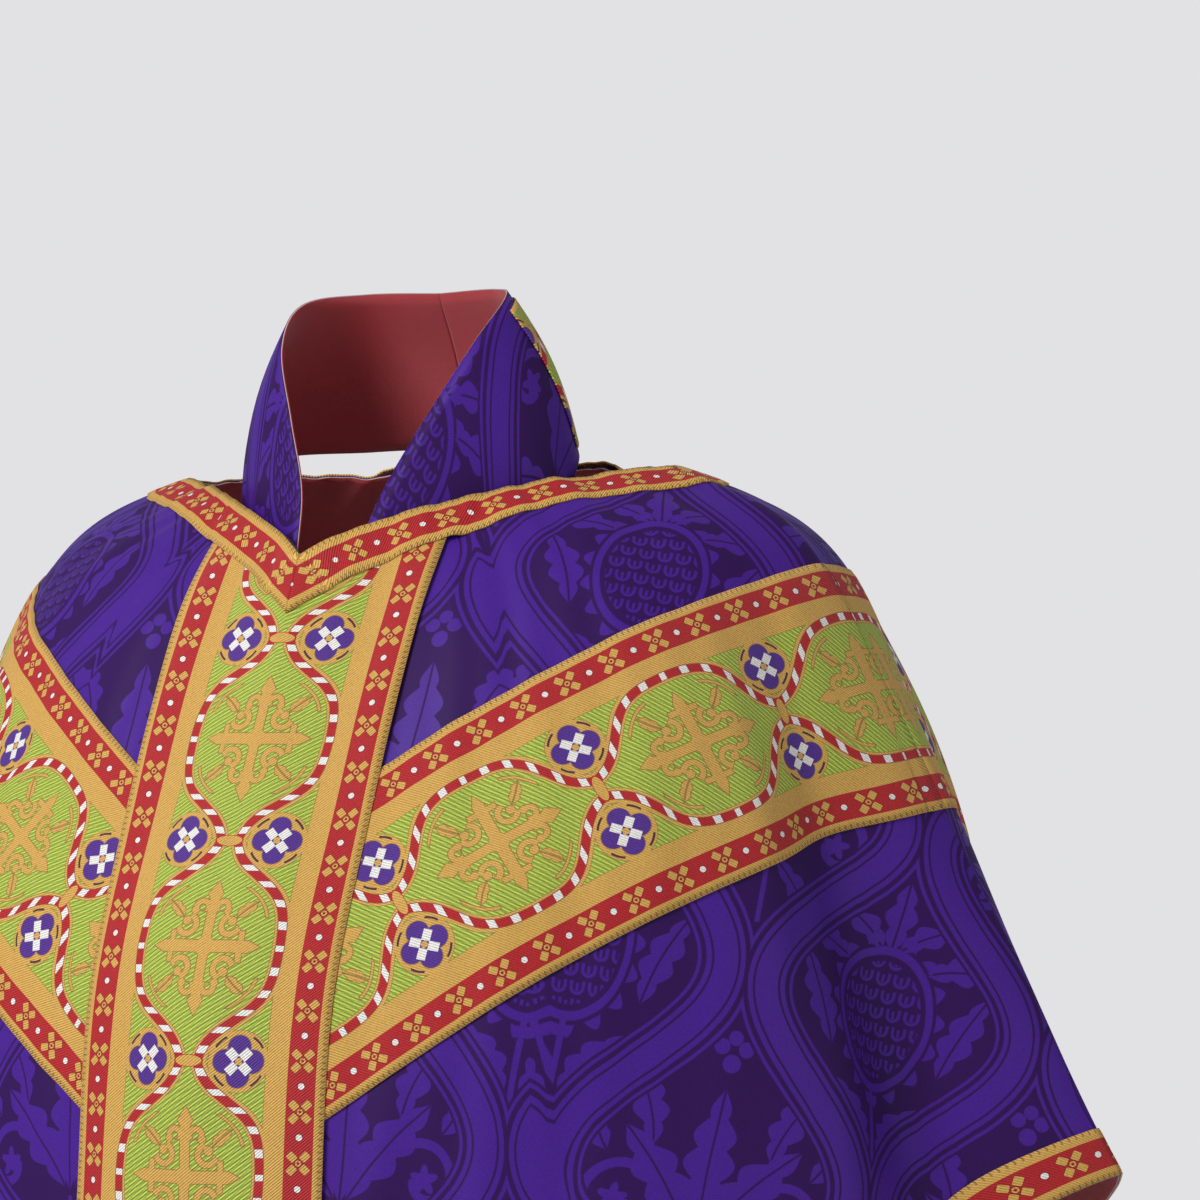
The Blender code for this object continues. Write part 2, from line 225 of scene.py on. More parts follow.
def straight_path(azimuth, down, angle, length, steps=PATH_STEPS):
    """Distance, azimuth and distance down along a straight line on the cloth, which starts at an angle
    to the line straight down and bends towards the front when the angle is negative."""
    azimuth, down = np.array([azimuth]), np.array([down])
    around, along = tangents(azimuth, down, False)
    turn = math.radians(angle)
    heading = math.cos(turn) * unit(along) + math.sin(turn) * square_to(around, along)
    places = [(0.0, azimuth[0], down[0])]
    for step in range(steps):
        azimuth, down, heading = advance(azimuth, down, heading, length / steps)
        places.append((length * (step + 1) / steps, azimuth[0], down[0]))
    return np.array(places)


def on_path(path, along):
    """Azimuths and distances down of places on a path."""
    return np.interp(along, path[:, 0], path[:, 1]), np.interp(along, path[:, 0], path[:, 2])


def beside(path, along, across):
    """Azimuths and distances down of places beside a path, at a distance across it."""
    azimuth, down = on_path(path, along)
    ahead, behind = on_path(path, along + PATH_SPAN), on_path(path, along - PATH_SPAN)
    forward = unit(drape(*ahead, False) - drape(*behind, False))
    around, below = tangents(azimuth, down, False)
    heading = np.cross(unit(np.cross(below, around)), forward)
    for _ in range(MARCH_STEPS):
        azimuth, down, heading = advance(azimuth, down, heading, across / MARCH_STEPS)
    return azimuth, down


def edge_path(depth, start, end, steps=160):
    """A path along the neckline or the hem: distance along, azimuth, distance down."""
    azimuth = np.linspace(start, end, steps)
    down = depth(azimuth)
    points = drape(azimuth, down, False)
    lengths = np.linalg.norm(np.diff(points, axis=0), axis=1)
    return np.stack((np.concatenate(((0.0,), np.cumsum(lengths))), azimuth, down), axis=1)


def straight_on(before, last, length):
    """A straight path on the cloth that carries on from the last of two places."""
    azimuth, down = np.array([last[1]]), np.array([last[2]])
    around, along = tangents(azimuth, down, False)
    sideways = square_to(around, along)
    forward = drape(azimuth, down, False) - drape(np.array([before[1]]), np.array([before[2]]), False)
    angle = math.degrees(math.atan2(dot(forward, sideways)[0], dot(forward, unit(along))[0]))
    return straight_path(last[1], last[2], angle, length, CARRY_STEPS)[1:]


def carried_on(path):
    """A path with a straight run added beyond each of its ends."""
    early = straight_on(path[1], path[0], CARRY)[::-1] * np.array((-1.0, 1.0, 1.0))
    late = straight_on(path[-2], path[-1], CARRY) + np.array((path[-1, 0], 0.0, 0.0))
    return np.concatenate((early, path, late))


def cut_where(path, test, low, high):
    """A cut where a test of the azimuth and the distance down turns positive along the band."""
    def cut(across):
        before, after = np.full_like(across, low), np.full_like(across, high)
        for _ in range(CUT_ROUNDS):
            middle = 0.5 * (before + after)
            beyond = test(*beside(path, middle, across)) > 0.0
            after = np.where(beyond, middle, after)
            before = np.where(beyond, before, middle)
        return 0.5 * (before + after)
    return cut


def off_middle(azimuth, down):
    """Distance of a place from the plane of symmetry."""
    return drape(azimuth, down, False)[..., 0]


# ---------------------------------------------------------------------------------------------------
# Mesh helpers
# ---------------------------------------------------------------------------------------------------

def mirrored(points, side):
    return points * np.array((side, 1.0, 1.0))


def grid_sheet(name, columns, rows, place, thickness, material):
    """A sheet of cloth on a grid. place turns shares of the width and length into points and into
    texture coordinates in metres of cloth."""
    form = bmesh.new()
    bmesh.ops.create_grid(form, x_segments=columns, y_segments=rows, size=0.5)
    first = np.array([vert.co.x + 0.5 for vert in form.verts])
    second = np.array([vert.co.y + 0.5 for vert in form.verts])
    points, cloth = place(first, second)
    for vert, point in zip(form.verts, points):
        vert.co = point
    mesh = bpy.data.meshes.new(name)
    form.to_mesh(mesh)
    form.free()
    corners = np.empty(len(mesh.loops), dtype=np.int32)
    mesh.loops.foreach_get("vertex_index", corners)
    layer_uv = mesh.uv_layers.new(name="cloth")
    layer_uv.data.foreach_set("uv", cloth[corners].astype(np.float32).ravel())
    mesh.shade_smooth()
    mesh.materials.append(material)
    sheet = bpy.data.objects.new(name, mesh)
    bpy.context.scene.collection.objects.link(sheet)
    solid = sheet.modifiers.new("thickness", "SOLIDIFY")
    solid.thickness = thickness
    solid.offset = 0.0
    return sheet


# ---------------------------------------------------------------------------------------------------
# Patterns: numbers and colours worked out over the cloth's own coordinates, in metres
# ---------------------------------------------------------------------------------------------------

class Field:
    """A number that varies over the cloth, with arithmetic that adds Math nodes."""

    def __init__(self, tree, socket):
        self.tree = tree
        self.socket = socket

    def math(self, operation, *others, clamp=False):
        node = self.tree.nodes.new("ShaderNodeMath")
        node.operation = operation
        node.use_clamp = clamp
        for slot, item in enumerate((self,) + others):
            if isinstance(item, Field):
                self.tree.links.new(item.socket, node.inputs[slot])
            else:
                node.inputs[slot].default_value = item
        return Field(self.tree, node.outputs[0])

    def __add__(self, other):
        return self.math("ADD", other)

    def __sub__(self, other):
        return self.math("SUBTRACT", other)

    def __mul__(self, other):
        return self.math("MULTIPLY", other)

    def __truediv__(self, other):
        return self.math("DIVIDE", other)

    def abs(self):
        return self.math("ABSOLUTE")

    def least(self, other):
        return self.math("MINIMUM", other)

    def most(self, other):
        return self.math("MAXIMUM", other)

    def repeat(self, length):
        """Distance to the nearest whole multiple of a length, with its sign."""
        half = 0.5 * length
        return self.math("ADD", half).math("FLOORED_MODULO", length).math("SUBTRACT", half)

    def mirror_repeat(self, length):
        """Distance to the nearest whole multiple of a length, without its sign."""
        return self.math("PINGPONG", 0.5 * length)

    def length(self, other):
        return (self * self + other * other).math("SQRT")

    def inside(self, softness=0.00012):
        """1 where a signed distance is below zero, 0 where it is above."""
        return self.math("MULTIPLY_ADD", -1.0 / softness, 0.5, clamp=True)

    def sine(self):
        return self.math("SINE")


def disc(across, along, radius):
    return across.length(along) - radius


def box(across, along, half_across, half_along, margin=0.0):
    """Signed distance, near enough, to a rectangle that a margin makes larger all round."""
    return (across.abs() - half_across).most(along.abs() - half_along) - margin


def turned(across, along, degrees):
    cosine, sine = math.cos(math.radians(degrees)), math.sin(math.radians(degrees))
    return across * cosine + along * sine, along * cosine - across * sine


def ring(across, along, radius, half_width):
    return (across.length(along) - radius).abs() - half_width


class Paint:
    """A colour that is painted over by colours where fields say so."""

    def __init__(self, tree, colour):
        self.tree = tree
        self.colour = colour

    def over(self, share, colour):
        node = self.tree.nodes.new("ShaderNodeMix")
        node.data_type = "RGBA"
        self.tree.links.new(share.socket, node.inputs["Factor"])
        for slot, item in ((6, self.colour), (7, colour)):
            if isinstance(item, bpy.types.NodeSocket):
                self.tree.links.new(item, node.inputs[slot])
            else:
                node.inputs[slot].default_value = (*item, 1.0)
        self.colour = node.outputs[2]
        return self

    def rimmed(self, shape, colour, rim, rim_colour):
        """Paint a shape with a rim of another colour around it."""
        self.over((shape - rim).inside(), rim_colour)
        self.over(shape.inside(), colour)


# Colours of the threads
GOLD = (0.62, 0.36, 0.085)
GOLD_SHADE = (0.30, 0.17, 0.045)
RED = (0.43, 0.018, 0.022)
RED_SHADE = (0.26, 0.010, 0.016)
GREEN = (0.52, 0.59, 0.085)
GREEN_SHADE = (0.165, 0.265, 0.040)
WHITE = (0.78, 0.76, 0.72)
VIOLET = (0.085, 0.028, 0.25)
DARK = (0.07, 0.03, 0.04)
# The damask's figure and ground share one thread: the figure's lighter colour is painted sheen of its satin.
DAMASK_FIGURE_PAINTED_SHEEN = (0.053, 0.0108, 0.224)
DAMASK_GROUND = (0.026, 0.0033, 0.075)
LINING_RED = (0.40, 0.018, 0.028)
CANVAS = (0.62, 0.56, 0.45)

# Wide band, in metres of cloth: one frame and its flowers fill a repeat, with a red border at each side
REPEAT = 0.115
RED_MIDDLE = 0.05975
RED_HALF = 0.00725
FLOWER_PITCH = 0.0255
FRAME_LOW = 0.0030
FRAME_SWELL = 0.0375
FRAME_TURN = 0.35
FRAME_SPREAD = 0.12
CHAIN_HALF = 0.0023
BEADS = 5.5
SIDE_FLOWER = 0.0262
ORPHREY_STITCHES = 0.0705

# Narrow braid
GALLOON_RED_HALF = 0.0077
GALLOON_STITCHES = 0.0118

# Threads
STITCH_PITCH = 0.0032
TWILL_PITCH = 0.0016
WEFT_PITCH = 0.0022


def cloth_fields(tree):
    """The two cloth coordinates as fields."""
    source = tree.nodes.new("ShaderNodeUVMap")
    source.uv_map = "cloth"
    split = tree.nodes.new("ShaderNodeSeparateXYZ")
    tree.links.new(source.outputs["UV"], split.inputs[0])
    return Field(tree, split.outputs[0]), Field(tree, split.outputs[1])


def noise(tree, scale, detail=2.0):
    """Even noise over the solid shape, about 0.5."""
    place = tree.nodes.new("ShaderNodeTexCoord")
    texture = tree.nodes.new("ShaderNodeTexNoise")
    texture.inputs["Scale"].default_value = scale
    texture.inputs["Detail"].default_value = detail
    tree.links.new(place.outputs["Object"], texture.inputs["Vector"])
    return Field(tree, texture.outputs["Fac"])


def red_band(paint, along, across, half_width):
    """A red stripe with gold four-petalled flowers and white dots between them. across is measured
    from the stripe's middle."""
    paint.over((across.abs() - half_width).inside(), RED)
    flower_along = along.repeat(FLOWER_PITCH)
    diagonal, other = turned(flower_along.abs(), across.abs(), 45.0)
    petal = box(diagonal - 0.0046, other, 0.0023, 0.0019).most(disc(diagonal - 0.0046, other, 0.0027))
    paint.rimmed(petal, GOLD, 0.00035, RED_SHADE)
    centre = flower_along.length(across)
    paint.over((centre - 0.0019).inside(), RED_SHADE)
    paint.over((centre - 0.0015).inside(), GOLD)
    paint.over((centre - 0.0007).inside(), RED_SHADE)
    dot_along = (along + 0.5 * FLOWER_PITCH).repeat(FLOWER_PITCH)
    dot_field = disc(dot_along, across, 0.0016)
    paint.rimmed(dot_field, WHITE, 0.0005, RED_SHADE)


def overcast(paint, along, across, edge):
    """Dark stitches that hold a gold edge down."""
    stitch = box(along.repeat(STITCH_PITCH), across.abs() - edge, 0.00040, 0.0011)
    paint.over(stitch.inside(), GOLD_SHADE)


def fleury_cross(along, across):
    """Signed distance to the cross inside an ogee frame: both coordinates from its centre."""
    a, b = along.abs(), across.abs()
    bar = a - ((b * -1.0 + 0.0300) * 0.50).least(0.0030)
    arm = b - ((a * -1.0 + 0.0345) * 0.40).least(0.0025)
    leaf_tip = (a - 0.0280).abs() * 0.60 + b - 0.0042
    curl = ring(a - 0.0205, b - 0.0058, 0.0034, 0.0013).most(a * -1.0 + 0.0188)
    drop = disc(a - 0.0188, b - 0.0092, 0.0019)
    far_a, far_b = a - 0.0112, b - 0.0122
    volute = ring(far_a, far_b, 0.0050, 0.0014).most(far_a + far_b - 0.0034)
    eye = disc(far_a - 0.0020, far_b - 0.0006, 0.0022)
    stem = box(a - 0.0046, b - 0.0195, 0.0034, 0.0014)
    spur = placed_leaf(b, a, (0.0150, 0.0150), 40.0, 0.0130, 0.0034, 0.002, 2.0)
    hub = a + b - 0.0072
    return nearest((bar, arm, leaf_tip, curl, drop, volute, eye, stem, spur, hub))


def orphrey_paint(tree):
    """The wide woven band: red borders and a chain of ogee frames on green."""
    along, signed = cloth_fields(tree)
    across = signed.abs()
    paint = Paint(tree, GOLD)
    red_band(paint, along, across - RED_MIDDLE, RED_HALF)
    overcast(paint, along, signed, ORPHREY_STITCHES)

    share = along.mirror_repeat(REPEAT) * (2.0 / REPEAT)
    growth = ((share - FRAME_TURN) * (-1.0 / FRAME_SPREAD)).math("EXPONENT") + 1.0
    growth = growth.math("POWER", -1.0)
    half_width = growth * FRAME_SWELL + FRAME_LOW
    steepness = growth * (growth * -1.0 + 1.0) * (FRAME_SWELL / FRAME_SPREAD * 2.0 / REPEAT)
    frame_distance = (across - half_width) / (steepness * steepness + 1.0).math("SQRT")

    flower_along = along.repeat(REPEAT)
    flower_across = across - SIDE_FLOWER
    flower = disc(flower_along, flower_across, 0.0158)

    # green ground, inside the frames and in the corners beside them
    green_inside = frame_distance + (CHAIN_HALF + 0.0017)
    green_corner = (frame_distance * -1.0 + (CHAIN_HALF + 0.0022)).most(flower * -1.0)
    green_corner = green_corner.most(across - 0.0405)
    green = green_inside.least(green_corner)
    paint.rimmed(green, GREEN, 0.0003, GOLD_SHADE)
    weft = ((along * 0.9 + signed * 0.55) * (math.tau / WEFT_PITCH)).sine() * 0.5 + 0.42
    paint.over(green.inside() * weft, GREEN_SHADE)

    # cross and corner sprigs
    cell_along = (along + 0.5 * REPEAT).repeat(REPEAT)
    cross = fleury_cross(cell_along, signed)
    sprig = (frame_distance + 0.0078).abs() - 0.0006
    sprig = sprig.most((cell_along.abs() - 0.0235).abs() - 0.0075)
    cross = cross.least(sprig).most(frame_distance + 0.0040)
    paint.over((cross - 0.0006).inside(0.0003), GOLD_SHADE)
    paint.over((cross - 0.0001).inside(0.0003), GOLD)

    # chain of white beads on red
    chain = frame_distance.abs() - CHAIN_HALF
    paint.rimmed(chain, RED, 0.0003, GOLD_SHADE)
    path_length = share * (0.5 * REPEAT) + half_width * 0.35
    pitch = (0.5 * REPEAT + 0.35 * FRAME_SWELL) / BEADS
    bead = box((path_length - (0.35 * FRAME_LOW + 0.0006) + 0.5 * pitch).repeat(pitch),
               frame_distance, 0.0019, 0.0018, 0.0003)
    paint.rimmed(bead, WHITE, 0.0003, RED_SHADE)

    # tie where two frames meet
    tie = disc(flower_along * 2.6, signed, 0.0072)
    paint.rimmed(tie, GOLD, 0.0009, RED)

    # flowers beside the tie
    lobe_a, lobe_b = flower_along.abs(), flower_across.abs()
    long_side, short_side = lobe_a.most(lobe_b), lobe_a.least(lobe_b)
    petals = disc(long_side - 0.0072, short_side, 0.0059)
    dashes = ring(flower_along, flower_across, 0.0139, 0.0006)
    dashes = dashes.most((long_side - short_side).abs() - 0.0052)
    paint.over(dashes.inside(), DARK)
    paint.rimmed(petals, VIOLET, 0.0004, GOLD_SHADE)
    diagonal, other = turned(lobe_a, lobe_b, 45.0)
    white = box(diagonal - 0.0050, other, 0.0027, 0.0021, 0.0002)
    paint.over(white.inside(), WHITE)
    paint.over(box(flower_along, flower_across, 0.0017, 0.0017).inside(), GOLD)
    return paint, along, signed


def galloon_paint(tree):
    """The narrow woven braid: a red stripe of flowers between two gold edges."""
    along, across = cloth_fields(tree)
    paint = Paint(tree, GOLD)
    middle = across - 0.5 * GALLOON_WIDTH
    red_band(paint, along, middle, GALLOON_RED_HALF)
    overcast(paint, along, middle, GALLOON_STITCHES)
    return paint, along, across


def principled(name):
    material = bpy.data.materials.new(name)
    material.use_nodes = True
    tree = material.node_tree
    return material, tree, tree.nodes["Principled BSDF"]


def finish(shader, **values):
    """Set inputs of a shader: an underscore stands for a space in the input's name."""
    for name, value in values.items():
        shader.inputs[name.replace("_", " ")].default_value = value


def bump(tree, shader, height, distance):
    node = tree.nodes.new("ShaderNodeBump")
    node.inputs["Distance"].default_value = distance
    tree.links.new(height.socket, node.inputs["Height"])
    tree.links.new(node.outputs["Normal"], shader.inputs["Normal"])


def shaded(tree, colour, factor):
    """A colour made lighter or darker by a field."""
    node = tree.nodes.new("ShaderNodeVectorMath")
    node.operation = "SCALE"
    tree.links.new(colour, node.inputs[0])
    tree.links.new(factor.socket, node.inputs["Scale"])
    return node.outputs[0]


def band_material(name, painter):
    """Woven brocade: the pattern, crossed by the fine diagonal ribs of its twill."""
    material, tree, shader = principled(name)
    paint, along, across = painter(tree)
    twill = ((along + across * 0.8) * (math.tau / TWILL_PITCH)).sine()
    mottle = noise(tree, 900.0, 1.0)
    factor = twill * 0.26 + mottle * 0.40 + 0.80
    tree.links.new(shaded(tree, paint.colour, factor), shader.inputs["Base Color"])
    finish(shader, Roughness=0.58, Specular_IOR_Level=0.25, Sheen_Weight=0.04, Sheen_Roughness=0.4)
    bump(tree, shader, twill + mottle, 0.00020)
    return material


# Damask, in metres of cloth: the repeat, then how near the straps of the net come to its middle line,
# and half their width
DAMASK_WIDTH = 0.175
DAMASK_HEIGHT = 0.205
STRAP_NEAR = 0.011
STRAP_HALF = 0.0098

# Scales of the fruit, and the fruit's squareness
SCALE_HEIGHT = 0.0090
SCALE_WIDTH = 0.0094
FRUIT_SHARE = 0.74

# Leaves: the root, the lean in degrees, the length, the half width, the bend and the lobes
POMEGRANATE_LEAVES = (
    ((0.0, 0.036), 0.0, 0.040, 0.0085, 0.0, 3.0),
    ((0.004, 0.037), 38.0, 0.034, 0.0075, 0.012, 3.0),
    ((0.020, 0.028), 62.0, 0.036, 0.0085, 0.014, 3.0),
    ((0.037, -0.026), 12.0, 0.052, 0.0095, 0.008, 4.0),
    ((0.004, -0.076), 24.0, 0.046, 0.0095, 0.016, 4.0),
)
PALMETTE_LEAVES = (
    ((0.0, -0.034), 0.0, 0.078, 0.0130, 0.0, 5.0),
    ((0.003, -0.032), 30.0, 0.066, 0.0125, 0.012, 4.0),
    ((0.030, 0.010), 8.0, 0.046, 0.0100, 0.016, 4.0),
    ((0.004, -0.040), 118.0, 0.040, 0.0085, 0.012, 3.0),
    ((0.052, 0.004), 40.0, 0.032, 0.0080, -0.008, 3.0),
)


def leaf(across, along, length, width, bend, lobes):
    """Signed distance to a lobed leaf that grows from the origin along its second coordinate and
    bends towards its first, with its vein cut out."""
    share = (along / length).most(0.0).least(1.0)
    lobe = (share * (math.pi * lobes)).sine().abs() * 0.42 + 0.58
    off = (across - share * share * bend).abs()
    body = off - (share * math.pi).sine() * lobe * width
    vein = off * -1.0 + 0.0006
    ends = (along * -1.0).most(along - length)
    return body.most(vein).most(ends)


def placed_leaf(across, along, place, degrees, *form):
    """A leaf that starts at a place, turned by an angle away from the second coordinate."""
    return leaf(*turned(across - place[0], along - place[1], -degrees), *form)


def nearest(shapes):
    result = shapes[0]
    for shape in shapes[1:]:
        result = result.least(shape)
    return result


def damask_figure(tree):
    """Signed distance to the figure of the damask: a net of straps, with a pomegranate in each first
    ogee and a palmette in each second."""
    across, along = cloth_fields(tree)
    wobble = noise(tree, 9.0, 1.0) * 0.008 - 0.004
    x_here = (across + wobble).mirror_repeat(DAMASK_WIDTH)
    y_here = along.repeat(DAMASK_HEIGHT)
    turn = y_here * (math.tau / DAMASK_HEIGHT)
    swell = 0.25 * DAMASK_WIDTH - STRAP_NEAR
    edge = turn.math("COSINE") * swell + 0.25 * DAMASK_WIDTH
    steepness = turn.sine() * (swell * math.tau / DAMASK_HEIGHT)
    lateral = (x_here - edge) / (steepness * steepness + 1.0).math("SQRT")
    strap = lateral.abs() - STRAP_HALF
    groove = ((lateral.abs() - 0.0066).abs() - 0.0006) * -1.0
    line = (lateral.abs() - (STRAP_HALF + 0.0034)).abs() - 0.0009
    clear = STRAP_HALF + 0.0058
    first = pomegranate(x_here, y_here).most(lateral + clear)
    x_other = x_here * -1.0 + 0.5 * DAMASK_WIDTH
    y_other = (along + 0.5 * DAMASK_HEIGHT).repeat(DAMASK_HEIGHT)
    second = palmette(x_other, y_other).most(lateral * -1.0 + clear)
    return nearest((strap.most(groove), line, first, second))


def pomegranate(x_here, y_here):
    """A fruit of scales inside a frame of hooked leaves."""
    body = x_here.length(y_here * FRUIT_SHARE) - 0.0245
    row = (y_here / SCALE_HEIGHT).math("FLOOR")
    scale_along = y_here - row * SCALE_HEIGHT - 0.5 * SCALE_HEIGHT
    shifted = x_here + row.math("FLOORED_MODULO", 2.0) * (0.5 * SCALE_WIDTH)
    scale_across = shifted.repeat(SCALE_WIDTH)
    scale = ring(scale_across, scale_along.least(0.0), 0.0031, 0.0008).most(scale_along - 0.0030)
    scale = scale.least(box(scale_across, scale_along, 0.0007, 0.0020)).most(body + 0.0012)
    rim = (body - 0.0030).abs() - 0.0017
    angle = (y_here * FRUIT_SHARE).math("ARCTAN2", x_here)
    hooks = body - 0.0078 - (angle * 13.0 + y_here * 90.0).sine() * 0.0030
    hooks = hooks.most((body - 0.0064) * -1.0)
    return nearest((
        scale, rim, hooks,
        *(placed_leaf(x_here, y_here, *form) for form in POMEGRANATE_LEAVES),
        box(x_here, y_here + 0.058, 0.0016, 0.022),
    ))


def palmette(x_here, y_here):
    """A fan of leaves between two scrolls."""
    far_x, far_y = x_here - 0.044, y_here + 0.018
    angle = far_y.math("ARCTAN2", far_x)
    radius = far_x.length(far_y)
    spiral = (radius - (angle * 0.0026 + 0.0135)).abs() - 0.0024
    curl = radius - ((angle * 5.0).sine() * 0.0018 + 0.0058)
    return nearest((
        spiral, curl,
        *(placed_leaf(x_here, y_here, *form) for form in PALMETTE_LEAVES),
        disc(x_here, y_here - 0.056, 0.0046), disc(x_here - 0.0062, y_here - 0.064, 0.0040),
        disc(x_here, y_here - 0.0690, 0.0038), box(x_here, y_here + 0.056, 0.0013, 0.020),
    ))


def damask_material(name):
    """Satin figure on a matt ground of the same thread, with the figure's lighter colour as painted sheen."""
    material, tree, shader = principled(name)
    figure = damask_figure(tree).inside(0.0006)
    # Painted sheen: the satin figure is painted lighter than the ground of the same thread.
    paint = Paint(tree, DAMASK_GROUND).over(figure, DAMASK_FIGURE_PAINTED_SHEEN)
    mottle = noise(tree, 1500.0, 1.0)
    tree.links.new(shaded(tree, paint.colour, mottle * 0.7 + 0.65), shader.inputs["Base Color"])
    roughness = figure * -0.14 + 0.62
    tree.links.new(roughness.socket, shader.inputs["Roughness"])
    finish(shader, Specular_IOR_Level=0.14, Sheen_Weight=0.04, Sheen_Roughness=0.4,
           Sheen_Tint=(0.35, 0.2, 0.9, 1.0))
    bump(tree, shader, mottle, 0.00008)
    return material


def plain_weave_material(name, colour, thread, roughness):
    material, tree, shader = principled(name)
    along, across = cloth_fields(tree)
    threads = (along * (math.tau / thread)).sine() * (across * (math.tau / thread)).sine()
    mottle = noise(tree, 700.0, 2.0)
    paint = Paint(tree, colour)
    paint.over(mottle * 0.4, tuple(0.6 * part for part in colour))
    tree.links.new(shaded(tree, paint.colour, threads * 0.08 + 1.0), shader.inputs["Base Color"])
    finish(shader, Roughness=roughness, Sheen_Weight=0.2)
    bump(tree, shader, threads + mottle, 0.00008)
    return material


# ---------------------------------------------------------------------------------------------------
# Pieces
# ---------------------------------------------------------------------------------------------------

# Thicknesses and heights of the layers: the damask's middle surface is at height zero
DAMASK_THICKNESS = 0.0007
INTERLINING_DEPTH = -0.0011
LINING_DEPTH = -0.0021
LINING_THICKNESS = 0.0005
BAND_THICKNESS = 0.0010
ARM_LIFT = 0.0013
PILLAR_LIFT = 0.0025
GALLOON_LIFT = 0.0013
PILLAR_STEP = 0.0026
CLIMB = 0.006

# Grids of the sheets: quarters (around, down), pillars and arms (along, across), braids
QUARTER_GRID = (120, 150)
EDGE_CROWDING = 1.15
PILLAR_GRID = (300, 28)
ARM_GRID = (120, 36)
NECK_BRAID_COLUMNS = 120
HEM_BRAID_COLUMNS = 300
BRAID_ROWS = 8
BAND_ROWS = 13

# How far the bands stop short of the edges, where their patterns start, and their pressed borders
SEAM_CLEARANCE = 0.010
PILLAR_SHIFT = 0.050
ARM_SHIFT = 0.0676
BORDER_WIDTH = 0.003
BORDER_PRESS = 0.0004

# Net of threads that lays a quarter flat: threads a side, rounds, and its first spread and radius
NET = 44
NET_ROUNDS = 700
NET_SPREAD = 64.0
NET_RADIUS = 0.15


def ripple(azimuth, down):
    """Slight unevenness of hanging cloth."""
    angle = np.radians(azimuth)
    first = np.sin(9.0 * angle + 11.0 * down + 0.6) * np.sin(17.0 * down - 3.0 * angle)
    second = np.sin(23.0 * angle - 7.0 * down + 1.9) * np.sin(29.0 * down + 5.0 * angle + 0.8)
    third = np.sin(41.0 * angle + 31.0 * down) * np.sin(13.0 * down - 19.0 * angle)
    return 0.0016 * first + 0.0009 * second + 0.0005 * third


def neck_top(azimuth):
    """Distance down of the neckline's cut edge: a sharp V at the front of the softer surface."""
    angle = np.radians(azimuth)
    sharp = superellipse(angle, NECK_HALF_WIDTH, NECK_FRONT, FRONT_SHARPNESS, 0.0)
    cut = (sharp - neckline(angle)[0]) / np.cos(slope(angle, np.zeros_like(angle)))
    return np.where(azimuth < 0.0, cut, 0.0)


def pull_together(net, rest, rows, columns):
    """Move the two ends of each thread in a set so that it has its own length."""
    first, second = net[rows[0], columns[0]], net[rows[1], columns[1]]
    gap = second - first
    length = np.linalg.norm(gap, axis=-1, keepdims=True)
    change = 0.5 * (1.0 - rest[..., None] / np.maximum(length, 1e-9)) * gap
    net[rows[0], columns[0]] += change
    net[rows[1], columns[1]] -= change


def flat_net(half):
    """The quarter laid flat: a net whose threads are as long as on the draped surface."""
    marks = np.linspace(0.0, 1.0, NET + 1)
    first, second = np.meshgrid(marks, marks, indexing="ij")
    azimuth = half * 90.0 * (1.0 - first)
    space = drape(azimuth, hem(azimuth) * second)
    spread = np.radians(NET_SPREAD * first)
    reach = NET_RADIUS + hem(azimuth) * second
    net = np.stack((reach * np.sin(spread), -reach * np.cos(spread)), axis=-1)
    threads = []
    for step in ((1, 0), (0, 1), (1, 1), (1, -1)):
        for start in (0, 1):
            if step == (0, 1):
                rows = (slice(None), slice(None))
                columns = (slice(start, NET, 2), slice(start + 1, NET + 1, 2))
            else:
                rows = (slice(start, NET, 2), slice(start + 1, NET + 1, 2))
                whole, early, late = slice(None), slice(0, NET), slice(1, NET + 1)
                columns = {0: (whole, whole), 1: (early, late), -1: (late, early)}[step[1]]
            ends = space[rows[0], columns[0]], space[rows[1], columns[1]]
            threads.append((rows, columns, np.linalg.norm(ends[1] - ends[0], axis=-1)))
    for _ in range(NET_ROUNDS):
        for rows, columns, rest in threads:
            pull_together(net, rest, rows, columns)
    down_middle = net[0, -1] - net[0, 0]
    turn = math.atan2(down_middle[0], -down_middle[1])
    cosine, sine = math.cos(turn), math.sin(turn)
    across, along = np.moveaxis(net - net[0, 0], -1, 0)
    return np.stack((across * cosine + along * sine, along * cosine - across * sine), axis=-1)


def on_net(net, azimuth, down):
    """Cloth coordinates of places on a quarter."""
    first = (1.0 - np.abs(azimuth) / 90.0) * NET
    second = down / hem(azimuth) * NET
    column = np.clip(first.astype(int), 0, NET - 1)
    row = np.clip(second.astype(int), 0, NET - 1)
    right, below = (first - column)[..., None], (second - row)[..., None]
    upper = net[column, row] * (1.0 - right) + net[column + 1, row] * right
    lower = net[column, row + 1] * (1.0 - right) + net[column + 1, row + 1] * right
    return upper * (1.0 - below) + lower * below


def quarter_grid(half, net, columns, rows):
    """Shared data of one quarter's layers: places, outward directions, ripple, distance to the edges
    and cloth coordinates, in the order in which a grid primitive lists its vertices."""
    second, first = np.meshgrid(np.linspace(0.0, 1.0, rows + 1), np.linspace(0.0, 1.0, columns + 1),
                                indexing="ij")
    azimuth = half * 90.0 * (1.0 - first.ravel()) ** EDGE_CROWDING
    top = neck_top(azimuth)
    down = top + (hem(azimuth) - top) * second.ravel()
    points = layer(azimuth, down, 0.0)
    outward = (layer(azimuth, down, 0.001) - points) / 0.001
    edge = np.minimum(down - top, hem(azimuth) - down)
    return points, outward, ripple(azimuth, down), edge, on_net(net, azimuth, down)


